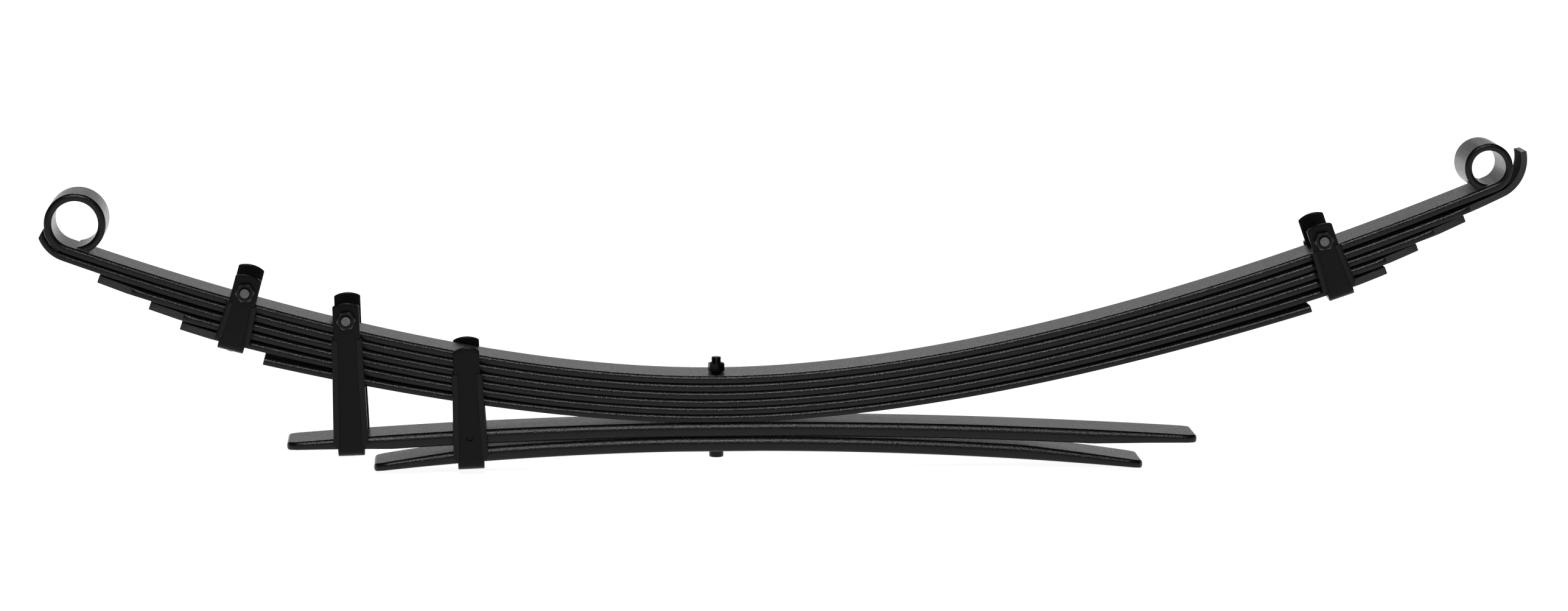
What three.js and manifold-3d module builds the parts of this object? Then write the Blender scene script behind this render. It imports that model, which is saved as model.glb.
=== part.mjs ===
// A two-stage leaf spring for the rear axle of a light truck or an off-road car: six upper leaves that
// curve up to the two eyes, two thick helper leaves that curve down, four clips and a centre bolt.
//
// Millimetres. +X points to the rear (shackle) eye, +Y runs across the leaves, +Z points up. The origin
// is on the centre bolt's axis, at the underside of the lowest leaf, where the axle seat bears on it.
//
// The upper leaves bend where a leaf spring bends most, three quarters of each arm in from its eye.
// They are cut there into a seat piece and two arm pieces, with a narrow slit for the hinge.
import * as THREE from "three";
import { mergeVertices } from "three/addons/utils/BufferGeometryUtils.js";
import Module from "manifold-3d";

const wasm = await Module();
wasm.setup();

// ---- Driving dimensions ----

const LEAF_WIDTH = 60;
const TOUCH_GAP = 0.3;
const HOLE_CLEARANCE = 0.3;
const CURVE_STEP = 30;
const ARC_SIDES = 40;
const ROUND_SIDES = 24;

// The camber of leaf 1: its radius of curvature grows from the middle of the spring to the eyes.
const MIDDLE_RADIUS = 955;
const END_RADIUS = 4485;
const CAMBER_FADE = 276.5;

// Lengths are measured along leaf 1 from the centre bolt. A tip gap is the space above the leaf's tip.
const UPPER_LEAVES = [
  { thickness: 7.6, front: { length: 627.5, tipGap: 0 }, rear: { length: 767.2, tipGap: 0 } },
  { thickness: 7.6, front: { length: 627.5, tipGap: 1.0 }, rear: { length: 767.2, tipGap: 3.2 } },
  { thickness: 7, front: { length: 590.5, tipGap: 2.9 }, rear: { length: 729.5, tipGap: 1.6 } },
  { thickness: 7, front: { length: 537.5, tipGap: 2.3 }, rear: { length: 678, tipGap: 2.1 } },
  { thickness: 7, front: { length: 504.5, tipGap: 2.9 }, rear: { length: 643, tipGap: 3.5 } },
  { thickness: 7, front: { length: 422, tipGap: 4.5 }, rear: { length: 563.5, tipGap: 3.7 } },
];
// Leaf 2 thins out before its wrap and its hook.
const LEAF_2_TAPER = 130;
const TRIMMED_LEAVES = [2, 3, 4];
const TRIM = { length: 36, tipWidth: 38 };

// Each helper leaf has a flat seat, then droops as a parabola, and thins out towards its tips.
const HELPER_THICKNESS = 13.7;
const HELPER_TIP_THICKNESS = 7.2;
const HELPER_CORNER = 5;
const LEAF_7 = {
  front: { tip: 408, flat: 40, radius: 5400, taper: 100 },
  rear: { tip: 459, flat: 70, radius: 6200, taper: 100 },
};
const LEAF_8 = {
  front: { tip: 326, flat: 40, radius: 3230, taper: 105 },
  rear: { tip: 407, flat: 40, radius: 4030, taper: 115 },
};

// The metal thins a little as it is rolled into an eye.
const FRONT_EYE = { inside: 21.8, thickness: 7.2 };
const REAR_EYE = { inside: 16.3, thickness: 6.8 };
const EYE_TAIL_INSIDE_ANGLE = 22.4;
const EYE_TAIL_GAP = 1.6;

// Leaf 2 wraps closely round the front eye, and stands off the rear eye as an open hook.
const FRONT_WRAP = { thickness: 6.3, gap: 1.0, outsideEnd: 49.4, insideEnd: 60.7 };
const REAR_HOOK = { thickness: 5.9, outside: 38, offsetX: 1.3, offsetZ: 5.9, end: 103.3 };
const REAR_HOOK_TAPER = { start: 711, tipWidth: 34 };

// The hinge stations along leaf 1, and the width of the slits there.
const FRONT_FLEX = 183;
const REAR_FLEX = 214.5;
const SLIT = 1.2;

const CENTRE_BOLT = { diameter: 9.5, standOut: 14.4, headDiameter: 13.7, headHeight: 9 };
const SPOT_FACE_DEPTH = 0.3;
const CENTRE_NUT = { acrossFlats: 14.3, height: 8.4 };

const STRAP = { width: 25, thickness: 4.75, insideHalf: 34.5, topRise: 3.2 };
const CLIP_BOLT = { diameter: 10, acrossFlats: 16, headHeight: 6.4, nutHeight: 8, standOut: 3 };
const SPACER_DIAMETER = 13;
const RIVET = { diameter: 8, headDiameter: 18, headHeight: 5, sinkDiameter: 12, sinkDepth: 2.5 };
const LINER = { wall: 2, lipReach: 6, topWidth: 29, bottomWidth: 32.7 };
const SPARE_HOLE = { diameter: 7, height: 31 };

// A lean is in degrees off vertical, towards +X, and a turn is in degrees about the clip's rivet.
// Heights are measured from the strap's underside.
const CLIPS = {
  a: { leaf: 5, station: -454.6, lean: 15.2, turn: 0, leg: 75, bolt: 58.6, liner: [10, 46] },
  b: { leaf: 7, station: -347, lean: -1.7, turn: 0, leg: 146.8, bolt: 131, liner: [10, 112] },
  c: { leaf: 8, station: -234, lean: -2.2, turn: 0, leg: 117, liner: [10, 92] },
  d: { leaf: 5, station: 595.5, lean: -19.2, turn: -2.8, leg: 75, bolt: 59.2, liner: [10, 51] },
};

// ---- Materials ----

const steel = (color, roughness, metalness = 0.6) =>
  new THREE.MeshStandardMaterial({ color, roughness, metalness });
const LEAF_PAINT = steel(0x4a4b4c, 0.6);
const CLIP_PAINT = steel(0x303134, 0.45);
const FASTENER_PAINT = steel(0x3b3c3e, 0.45);
const LINER_PLASTIC = steel(0x17181a, 0.7, 0);

// ---- Solids ----

const degrees = (angle) => (angle * Math.PI) / 180;

function solidOf(geometry) {
  geometry.deleteAttribute("normal");
  geometry.deleteAttribute("uv");
  const merged = mergeVertices(geometry, 1e-4);
  return new wasm.Manifold(
    new wasm.Mesh({
      numProp: 3,
      vertProperties: merged.attributes.position.array,
      triVerts: new Uint32Array(merged.index.array),
    }),
  );
}

function meshOf(name, solid, material) {
  const { numProp, vertProperties, triVerts } = solid.getMesh();
  const geometry = new THREE.BufferGeometry();
  geometry.setAttribute("position", new THREE.BufferAttribute(vertProperties, numProp));
  geometry.setIndex(new THREE.BufferAttribute(triVerts, 1));
  geometry.computeVertexNormals();
  const mesh = new THREE.Mesh(geometry, material);
  mesh.name = name;
  return mesh;
}

// An outline in X and Z, extruded across the leaves from nearY to farY.
function sidePrism(outline, nearY, farY) {
  const geometry = new THREE.ExtrudeGeometry(new THREE.Shape(outline), {
    depth: farY - nearY,
    bevelEnabled: false,
  });
  return solidOf(geometry.rotateX(Math.PI / 2).translate(0, farY, 0));
}

// An outline in X and Y, extruded upwards from low to high.
function planPrism(outline, low, high) {
  const geometry = new THREE.ExtrudeGeometry(new THREE.Shape(outline), {
    depth: high - low,
    bevelEnabled: false,
  });
  return solidOf(geometry.translate(0, 0, low));
}

// A solid turned about the Z axis. Its profile holds pairs of radius and height, from bottom to top.
function turned(profile, sides = ROUND_SIDES) {
  const points = profile.map(([radius, height]) => new THREE.Vector2(radius, height));
  return solidOf(new THREE.LatheGeometry(points, sides).rotateX(Math.PI / 2));
}

const rod = (diameter, low, high, sides = ROUND_SIDES) =>
  turned([[0, low], [diameter / 2, low], [diameter / 2, high], [0, high]], sides);

const box = (width, depth, height, x, y, z) =>
  solidOf(new THREE.BoxGeometry(width, depth, height).translate(x, y, z));

// A hexagon bar with its corners chamfered at the top, and at the bottom too if asked.
function hexagon(acrossFlats, low, high, chamferBottom) {
  const corner = acrossFlats / Math.sqrt(3);
  const flat = acrossFlats / 2;
  const drop = (corner - flat) * 0.6;
  const bottom = chamferBottom ? [[flat, low], [corner + 0.1, low + drop]] : [[corner + 0.1, low]];
  const profile = [[0, low], ...bottom, [corner + 0.1, high - drop], [flat, high], [0, high]];
  return rod(corner * 2, low, high, 6).intersect(turned(profile));
}

// The point at an angle round a centre in the XZ plane.
const around = (centre, radius, angle) =>
  new THREE.Vector2(centre.x + radius * Math.cos(angle), centre.y + radius * Math.sin(angle));

// Points on a spiral, whose radius goes evenly from one value to another.
function spiral(centre, firstRadius, lastRadius, from, to, sides = ARC_SIDES) {
  const count = Math.max(2, Math.ceil((Math.abs(to - from) / (2 * Math.PI)) * sides));
  return Array.from({ length: count + 1 }, (_, i) => {
    const part = i / count;
    return around(centre, firstRadius + (lastRadius - firstRadius) * part, from + (to - from) * part);
  });
}

const arc = (centre, radius, from, to, sides) => spiral(centre, radius, radius, from, to, sides);

// ---- The shape of the upper leaves ----

function slopeAt(length) {
  const extra = (1 / MIDDLE_RADIUS - 1 / END_RADIUS) * CAMBER_FADE;
  return length / END_RADIUS + extra * (1 - Math.exp(-length / CAMBER_FADE));
}

// The thickness of an upper leaf at a station.
function thicknessOf(index, station = 0) {
  const { thickness, front, rear } = UPPER_LEAVES[index];
  if (index !== 1) return thickness;
  const [arm, end] = station < 0 ? [front, FRONT_WRAP] : [rear, REAR_HOOK];
  const into = Math.max(0, 1 - (arm.length - Math.abs(station)) / LEAF_2_TAPER);
  return thickness + (end.thickness - thickness) * into;
}

const UPPER_STACK = UPPER_LEAVES.reduce((sum, leaf) => sum + leaf.thickness + TOUCH_GAP, 0);
const STACK_TOP = 2 * HELPER_THICKNESS + UPPER_STACK + TOUCH_GAP;

// The point at a depth below the top of leaf 1, at a station: a length along it, negative to the front.
function stackPoint(station, depth) {
  const side = station < 0 ? -1 : 1;
  const length = Math.abs(station);
  const steps = Math.max(1, Math.ceil(length / 5));
  const step = length / steps;
  let x = 0;
  let z = STACK_TOP;
  for (let i = 0; i < steps; i++) {
    const slope = slopeAt((i + 0.5) * step);
    x += step * Math.cos(slope);
    z += step * Math.sin(slope);
  }
  const slope = slopeAt(length);
  return new THREE.Vector2(side * (x + depth * Math.sin(slope)), z - depth * Math.cos(slope));
}

function gapAbove(index, station) {
  const { length, tipGap } = station < 0 ? UPPER_LEAVES[index].front : UPPER_LEAVES[index].rear;
  return TOUCH_GAP + (tipGap - TOUCH_GAP) * (station / length) ** 2;
}

// How deep the top of an upper leaf lies below the top of leaf 1.
function topDepth(index, station) {
  let depth = 0;
  for (let i = 1; i <= index; i++) depth += thicknessOf(i - 1, station) + gapAbove(i, station);
  return depth;
}

function stations(from, to) {
  const count = Math.max(1, Math.ceil(Math.abs(to - from) / CURVE_STEP));
  return Array.from({ length: count + 1 }, (_, i) => from + ((to - from) * i) / count);
}

const leafTop = (index, from, to) =>
  stations(from, to).map((station) => stackPoint(station, topDepth(index, station)));

const leafUnderside = (index, from, to) =>
  stations(from, to).map((station) =>
    stackPoint(station, topDepth(index, station) + thicknessOf(index, station)),
  );

const closed = (outline) => (THREE.ShapeUtils.area(outline) < 0 ? outline.reverse() : outline);

const leafPlate = (outline) => sidePrism(closed(outline), -LEAF_WIDTH / 2, LEAF_WIDTH / 2);

// ---- Leaf 1's eyes, and leaf 2's wrap and hook ----

// An eye's centre, and the angle from it to the place where the leaf meets it.
function eyeOf(side) {
  const station = side < 0 ? -UPPER_LEAVES[0].front.length : UPPER_LEAVES[0].rear.length;
  const { inside, thickness } = side < 0 ? FRONT_EYE : REAR_EYE;
  const slope = slopeAt(Math.abs(station)) * side;
  return { station, inside, thickness, centre: stackPoint(station, -inside), foot: slope - Math.PI / 2 };
}

// The leaf rolls over the top of the eye, and its bevelled end stops just above the leaf.
function eyeRoll(side) {
  const { inside, thickness, centre, foot } = eyeOf(side);
  const outside = inside + thickness;
  const turn = 2 * Math.PI;
  const insideEnd = foot + side * (turn - degrees(EYE_TAIL_INSIDE_ANGLE));
  const outsideEnd = foot + side * (turn - Math.acos((inside - EYE_TAIL_GAP) / outside));
  const thinned = foot + side * degrees(60);
  return [
    ...spiral(centre, inside + thicknessOf(0), outside, foot, thinned).slice(0, -1),
    ...arc(centre, outside, thinned, outsideEnd),
    ...arc(centre, inside, insideEnd, foot),
  ];
}

function leafOneArm(side, cut) {
  const { station } = eyeOf(side);
  const under = leafUnderside(0, cut, station);
  const top = leafTop(0, station, cut);
  return leafPlate([...under.slice(0, -1), ...eyeRoll(side), ...top.slice(1)]);
}

function frontWrap() {
  const { inside, centre, foot } = eyeOf(-1);
  const nearSide = inside + thicknessOf(0) + FRONT_WRAP.gap;
  return [
    ...arc(centre, nearSide + FRONT_WRAP.thickness, foot, foot - degrees(FRONT_WRAP.outsideEnd)),
    ...arc(centre, nearSide, foot - degrees(FRONT_WRAP.insideEnd), foot),
  ];
}

function rearHook() {
  const { centre, foot } = eyeOf(1);
  const { outside, thickness, offsetX, offsetZ, end } = REAR_HOOK;
  const bend = new THREE.Vector2(centre.x + offsetX, centre.y + offsetZ);
  const last = degrees(end) - Math.PI / 2;
  return [...arc(bend, outside, foot, last), ...arc(bend, outside - thickness, last, foot)];
}

function leafTwoArm(side, cut) {
  const last = side * (Math.abs(eyeOf(side).station) - CURVE_STEP / 2);
  const end = side < 0 ? frontWrap() : rearHook();
  const plate = leafPlate([...leafUnderside(1, cut, last), ...end, ...leafTop(1, last, cut)]);
  return side < 0 ? plate : plate.intersect(hookPlan());
}

// Seen from above, the hook narrows towards its end.
function hookPlan() {
  const half = LEAF_WIDTH / 2 + 1;
  const { start, tipWidth } = REAR_HOOK_TAPER;
  const { centre } = eyeOf(1);
  const tip = centre.x + REAR_HOOK.outside + 1;
  const outline = [[0, -half], [start, -half], [tip, -tipWidth / 2], [tip, tipWidth / 2]];
  outline.push([start, half], [0, half]);
  return planPrism(outline.map(([x, y]) => new THREE.Vector2(x, y)), 0, 2 * centre.y);
}

// ---- The other upper leaves ----

// Seen from above, the ends of the trimmed leaves taper a little.
function trimPlan(index, side) {
  const arm = side < 0 ? UPPER_LEAVES[index].front : UPPER_LEAVES[index].rear;
  const tip = Math.abs(stackPoint(side * arm.length, topDepth(index, side * arm.length)).x);
  const half = LEAF_WIDTH / 2 + 1;
  const start = tip - TRIM.length;
  const end = tip + thicknessOf(index);
  const outline = [[0, -half], [start, -half], [end, -TRIM.tipWidth / 2]];
  const mirrored = outline.map(([x, y]) => [x, -y]).reverse();
  const points = [...outline, ...mirrored].map(([x, y]) => new THREE.Vector2(side * x, y));
  return planPrism(closed(points), 0, 2 * STACK_TOP + tip);
}

function plainArm(index, side, cut) {
  const arm = side < 0 ? UPPER_LEAVES[index].front : UPPER_LEAVES[index].rear;
  const tip = side * arm.length;
  const plate = leafPlate([...leafUnderside(index, cut, tip), ...leafTop(index, tip, cut)]);
  return TRIMMED_LEAVES.includes(index) ? plate.intersect(trimPlan(index, side)) : plate;
}

function upperArm(index, side) {
  const cut = side < 0 ? -FRONT_FLEX - SLIT / 2 : REAR_FLEX + SLIT / 2;
  if (index === 0) return leafOneArm(side, cut);
  if (index === 1) return leafTwoArm(side, cut);
  return plainArm(index, side, cut);
}

const centreHole = () =>
  rod(CENTRE_BOLT.diameter + 2 * HOLE_CLEARANCE, -10, STACK_TOP + 10);

function upperSeat(index) {
  const front = -FRONT_FLEX + SLIT / 2;
  const rear = REAR_FLEX - SLIT / 2;
  const under = [...leafUnderside(index, front, 0), ...leafUnderside(index, 0, rear).slice(1)];
  const top = [...leafTop(index, rear, 0), ...leafTop(index, 0, front).slice(1)];
  return leafPlate([...under, ...top]).subtract(centreHole());
}

// ---- The helper leaves ----

function droop(arm, x) {
  return Math.max(0, x ** 2 - arm.flat ** 2) / (2 * arm.radius);
}

function helperThickness(arm, x) {
  const into = Math.max(0, Math.abs(x) - (arm.tip - arm.taper)) / arm.taper;
  return HELPER_THICKNESS + (HELPER_TIP_THICKNESS - HELPER_THICKNESS) * into;
}

const armAt = (leaf, x) => (x < 0 ? leaf.front : leaf.rear);

// Leaf 7's top and leaf 8's underside are smooth curves, and their tapers are on the other faces.
const leaf7Top = (x) => 2 * HELPER_THICKNESS + TOUCH_GAP - droop(armAt(LEAF_7, x), x);
const leaf7Underside = (x) => leaf7Top(x) - helperThickness(armAt(LEAF_7, x), x);
const leaf8Underside = (x) => -droop(armAt(LEAF_8, x), x);
const leaf8Top = (x) => leaf8Underside(x) + helperThickness(armAt(LEAF_8, x), x);

// Places along a helper leaf, with one at each end of its seat and of its tapers.
function helperPlaces(leaf) {
  const { front, rear } = leaf;
  const ends = [-front.tip, front.taper - front.tip, -front.flat, rear.flat];
  ends.push(rear.tip - rear.taper, rear.tip);
  return ends.flatMap((from, i) => (i ? stations(ends[i - 1], from).slice(1) : [from]));
}

function helperPlan(leaf) {
  const half = LEAF_WIDTH / 2;
  const inner = half - HELPER_CORNER;
  const [left, right] = [-leaf.front.tip, leaf.rear.tip];
  const outline = [
    [left, -inner], [left + HELPER_CORNER, -half], [right - HELPER_CORNER, -half], [right, -inner],
    [right, inner], [right - HELPER_CORNER, half], [left + HELPER_CORNER, half], [left, inner],
  ];
  return planPrism(outline.map(([x, y]) => new THREE.Vector2(x, y)), -STACK_TOP, STACK_TOP);
}

function helperLeaf(leaf, top, underside) {
  const places = helperPlaces(leaf);
  const low = places.map((x) => new THREE.Vector2(x, underside(x)));
  const high = places.map((x) => new THREE.Vector2(x, top(x))).reverse();
  return sidePrism([...low, ...high], -LEAF_WIDTH / 2 - 1, LEAF_WIDTH / 2 + 1)
    .intersect(helperPlan(leaf))
    .subtract(centreHole());
}

// The lowest leaf is spot-faced round its hole, where the bolt's head sits.
function spotFace() {
  const diameter = CENTRE_BOLT.headDiameter + 2 * HOLE_CLEARANCE;
  return rod(diameter, -SPOT_FACE_DEPTH, SPOT_FACE_DEPTH);
}

// ---- The centre bolt ----

function centreBolt() {
  const { diameter, standOut, headDiameter, headHeight } = CENTRE_BOLT;
  const [radius, head] = [diameter / 2, headDiameter / 2];
  const top = STACK_TOP + standOut;
  const seat = -TOUCH_GAP;
  return turned([
    [0, seat - headHeight], [head - 1, seat - headHeight], [head, seat - headHeight + 1], [head, seat],
    [radius, seat], [radius, top - 1], [radius - 1, top], [0, top],
  ]);
}

function centreNut() {
  const low = STACK_TOP + TOUCH_GAP;
  const { acrossFlats, height } = CENTRE_NUT;
  const hole = rod(CENTRE_BOLT.diameter + 2 * HOLE_CLEARANCE, low - 1, low + height + 1);
  return hexagon(acrossFlats, low, low + height, false).subtract(hole);
}

// ---- The clips, each in its own frame: X along the leaf, Z up the legs, origin at the strap's underside ----

// A rod through both legs of a clip, from nearY to farY at a height.
const crossRod = (diameter, nearY, farY, height) =>
  rod(diameter, nearY, farY).rotate([-90, 0, 0]).translate([0, 0, height]);

function strapSection() {
  const inside = STRAP.insideHalf;
  const outside = inside + STRAP.thickness;
  const tall = 200;
  const bend = STRAP.thickness + 4;
  const corner = new THREE.Vector2(outside - bend, bend);
  const outer = arc(corner, bend, -Math.PI / 2, 0, 24);
  const inner = arc(corner, bend - STRAP.thickness, 0, -Math.PI / 2, 24);
  const half = [...outer, new THREE.Vector2(outside, tall), new THREE.Vector2(inside, tall), ...inner];
  const mirrored = half.map(({ x, y }) => new THREE.Vector2(-x, y)).reverse();
  return [...mirrored, ...half.slice(0, -1), half.at(-1)];
}

// The leg's front view: straight sides and a shallow arc on top.
function legOutline(leg) {
  const half = STRAP.width / 2;
  const rise = STRAP.topRise;
  const radius = (half ** 2 + rise ** 2) / (2 * rise);
  const sweep = Math.asin(half / radius);
  const centre = new THREE.Vector2(0, leg - radius);
  const top = arc(centre, radius, Math.PI / 2 - sweep, Math.PI / 2 + sweep, 60);
  return [new THREE.Vector2(-half, -1), new THREE.Vector2(half, -1), ...top];
}

function strap(clip) {
  const width = STRAP.width + 2;
  const outside = STRAP.insideHalf + STRAP.thickness;
  const bar = new THREE.ExtrudeGeometry(new THREE.Shape(closed(strapSection())), {
    depth: width,
    bevelEnabled: false,
  });
  bar.rotateX(Math.PI / 2).rotateZ(Math.PI / 2).translate(-width / 2, 0, 0);
  const legs = sidePrism(legOutline(clip.leg), -outside - 1, outside + 1);
  let result = solidOf(bar).intersect(legs).subtract(rod(rivetHole(), -1, STRAP.thickness + 1));
  if (clip.bolt) result = result.subtract(crossRod(boltHole(), -outside - 1, outside + 1, clip.bolt));
  else result = result.subtract(crossRod(SPARE_HOLE.diameter, -outside - 1, 0, SPARE_HOLE.height));
  return result;
}

const rivetHole = () => RIVET.diameter + 2 * HOLE_CLEARANCE;
const boltHole = () => CLIP_BOLT.diameter + 2 * HOLE_CLEARANCE;

// A domed head below the strap, and a countersunk one that ends just under the leaf's top face.
function rivet(leafThickness, lift) {
  const [radius, head, sink] = [RIVET.diameter / 2, RIVET.headDiameter / 2, RIVET.sinkDiameter / 2];
  const domeRadius = (head ** 2 + RIVET.headHeight ** 2) / (2 * RIVET.headHeight);
  const sweep = Math.asin(head / domeRadius);
  const centre = new THREE.Vector2(0, -TOUCH_GAP - RIVET.headHeight + domeRadius);
  const dome = arc(centre, domeRadius, -Math.PI / 2, -Math.PI / 2 + sweep, 60);
  const top = STRAP.thickness + lift + leafThickness - 2 * TOUCH_GAP;
  return turned([
    ...dome.map(({ x, y }, i) => [i ? x : 0, y]),
    [radius, -TOUCH_GAP], [radius, top - RIVET.sinkDepth], [sink, top], [0, top],
  ]);
}

// The hole that the rivet leaves in its leaf, countersunk from above.
function rivetBore(leafThickness, lift) {
  const [radius, sink] = [rivetHole() / 2, RIVET.sinkDiameter / 2 + HOLE_CLEARANCE];
  const top = STRAP.thickness + lift + leafThickness - 2 * TOUCH_GAP;
  return turned([
    [0, 0], [radius, 0], [radius, top - RIVET.sinkDepth - HOLE_CLEARANCE],
    [sink, top - HOLE_CLEARANCE], [sink, top + 3], [0, top + 3],
  ]);
}

// A channel that is snapped on a leg: its base is inside the leg, and its lips lap over the outside.
function liner(clip, side) {
  const [low, high] = clip.liner;
  const { wall, lipReach, topWidth, bottomWidth } = LINER;
  const inner = STRAP.insideHalf - TOUCH_GAP;
  const outer = STRAP.insideHalf + STRAP.thickness + TOUCH_GAP;
  const legHalf = STRAP.width / 2 + TOUCH_GAP;
  const outline = [[-bottomWidth / 2, low], [bottomWidth / 2, low], [topWidth / 2, high]];
  outline.push([-topWidth / 2, high]);
  const block = sidePrism(outline.map(([x, z]) => new THREE.Vector2(x, z)), inner - wall, outer + wall);
  const middle = (low + high) / 2;
  const tall = high - low + 2;
  const leg = box(2 * legHalf, outer - inner, tall, 0, (inner + outer) / 2, middle);
  const window = box(topWidth - 2 * lipReach, 2 * wall, tall, 0, outer + wall / 2, middle);
  const channel = block.subtract(leg).subtract(window);
  return side < 0 ? channel.rotate([0, 0, 180]) : channel;
}

const legOutside = STRAP.insideHalf + STRAP.thickness;

function clipBolt(clip) {
  const { diameter, acrossFlats, headHeight, nutHeight, standOut } = CLIP_BOLT;
  const tip = legOutside + TOUCH_GAP + nutHeight + standOut;
  const head = legOutside + TOUCH_GAP;
  const radius = diameter / 2;
  const shank = turned([[0, -tip], [radius - 1, -tip], [radius, 1 - tip], [radius, head + 1], [0, head + 1]]);
  return shank
    .add(hexagon(acrossFlats, head, head + headHeight, false))
    .rotate([-90, 0, 0])
    .translate([0, 0, clip.bolt]);
}

function clipNut(clip) {
  const { acrossFlats, nutHeight } = CLIP_BOLT;
  const low = -legOutside - TOUCH_GAP - nutHeight;
  return hexagon(acrossFlats, low, low + nutHeight, true)
    .subtract(rod(boltHole(), low - 1, low + nutHeight + 1))
    .rotate([-90, 0, 0])
    .translate([0, 0, clip.bolt]);
}

function spacer(clip) {
  const half = STRAP.insideHalf - TOUCH_GAP;
  return crossRod(SPACER_DIAMETER, -half, half, clip.bolt)
    .subtract(crossRod(boltHole(), -half - 1, half + 1, clip.bolt));
}

// The leaf's underside, slope and thickness at a clip.
function clipSeat(clip) {
  const x = clip.station;
  if (clip.leaf === 5) {
    const index = clip.leaf - 1;
    const point = stackPoint(x, topDepth(index, x) + thicknessOf(index));
    return { point, slope: slopeAt(Math.abs(x)) * Math.sign(x), thickness: thicknessOf(index) };
  }
  const underside = clip.leaf === 7 ? leaf7Underside : leaf8Underside;
  const leaf = clip.leaf === 7 ? LEAF_7 : LEAF_8;
  return {
    point: new THREE.Vector2(x, underside(x)),
    slope: Math.atan((underside(x + 1) - underside(x - 1)) / 2),
    thickness: helperThickness(armAt(leaf, x), x),
  };
}

// The distance from the strap to its leaf, so that a strap at a slight angle to the leaf stays clear.
function clipLift(clip) {
  const mismatch = Math.abs(degrees(-clip.lean) - clipSeat(clip).slope);
  return TOUCH_GAP + 0.1 + (STRAP.width / 2) * Math.tan(mismatch);
}

// Where a clip's own frame stands in the spring's frame.
function clipPlace(clip) {
  const { point } = clipSeat(clip);
  const lean = degrees(clip.lean);
  const down = STRAP.thickness + clipLift(clip);
  return { x: point.x - down * Math.sin(lean), z: point.y - down * Math.cos(lean), lean };
}

function clipGroup(letter) {
  const clip = CLIPS[letter];
  const { x, z, lean } = clipPlace(clip);
  const group = new THREE.Group();
  group.position.set(x, 0, z);
  group.rotation.set(0, lean, degrees(clip.turn));
  const add = (name, solid, material) => group.add(meshOf("clip_" + letter + "_" + name, solid, material));
  add("strap", strap(clip), CLIP_PAINT);
  add("rivet", rivet(clipSeat(clip).thickness, clipLift(clip)), FASTENER_PAINT);
  add("liner_near", liner(clip, -1), LINER_PLASTIC);
  add("liner_far", liner(clip, 1), LINER_PLASTIC);
  if (clip.bolt) {
    add("bolt", clipBolt(clip), FASTENER_PAINT);
    add("nut", clipNut(clip), FASTENER_PAINT);
    add("spacer", spacer(clip), FASTENER_PAINT);
  }
  return group;
}

// A clip's rivet bore, in the spring's frame.
function riveted(leafSolid, clip) {
  const { x, z, lean } = clipPlace(clip);
  const bore = rivetBore(clipSeat(clip).thickness, clipLift(clip));
  return leafSolid.subtract(bore.rotate([0, (lean * 180) / Math.PI, 0]).translate([x, 0, z]));
}

// ---- The assembly ----

const spring = new THREE.Group();

UPPER_LEAVES.forEach((_, index) => {
  const name = "leaf_" + (index + 1);
  let front = upperArm(index, -1);
  let rear = upperArm(index, 1);
  if (index + 1 === CLIPS.a.leaf) front = riveted(front, CLIPS.a);
  if (index + 1 === CLIPS.d.leaf) rear = riveted(rear, CLIPS.d);
  spring.add(meshOf(name + "_front_arm", front, LEAF_PAINT));
  spring.add(meshOf(name + "_seat", upperSeat(index), LEAF_PAINT));
  spring.add(meshOf(name + "_rear_arm", rear, LEAF_PAINT));
});

const leaf7 = riveted(helperLeaf(LEAF_7, leaf7Top, leaf7Underside), CLIPS.b);
const leaf8Bar = helperLeaf(LEAF_8, leaf8Top, leaf8Underside).subtract(spotFace());
const leaf8 = riveted(leaf8Bar, CLIPS.c);
spring.add(meshOf("leaf_7", leaf7, LEAF_PAINT));
spring.add(meshOf("leaf_8", leaf8, LEAF_PAINT));
spring.add(meshOf("centre_bolt", centreBolt(), FASTENER_PAINT));
spring.add(meshOf("centre_nut", centreNut(), FASTENER_PAINT));
Object.keys(CLIPS).forEach((letter) => spring.add(clipGroup(letter)));

export default spring;
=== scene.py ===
"""The looks of a two-stage leaf spring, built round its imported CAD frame.

Lengths are in millimetres, and turned into metres where a mesh or a light is made. +X points to the rear
eye, +Y across the leaves and +Z up, and the origin is at the underside of the lowest leaf.
"""

import math

import bmesh
import bpy
from mathutils import Matrix, Vector


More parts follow.
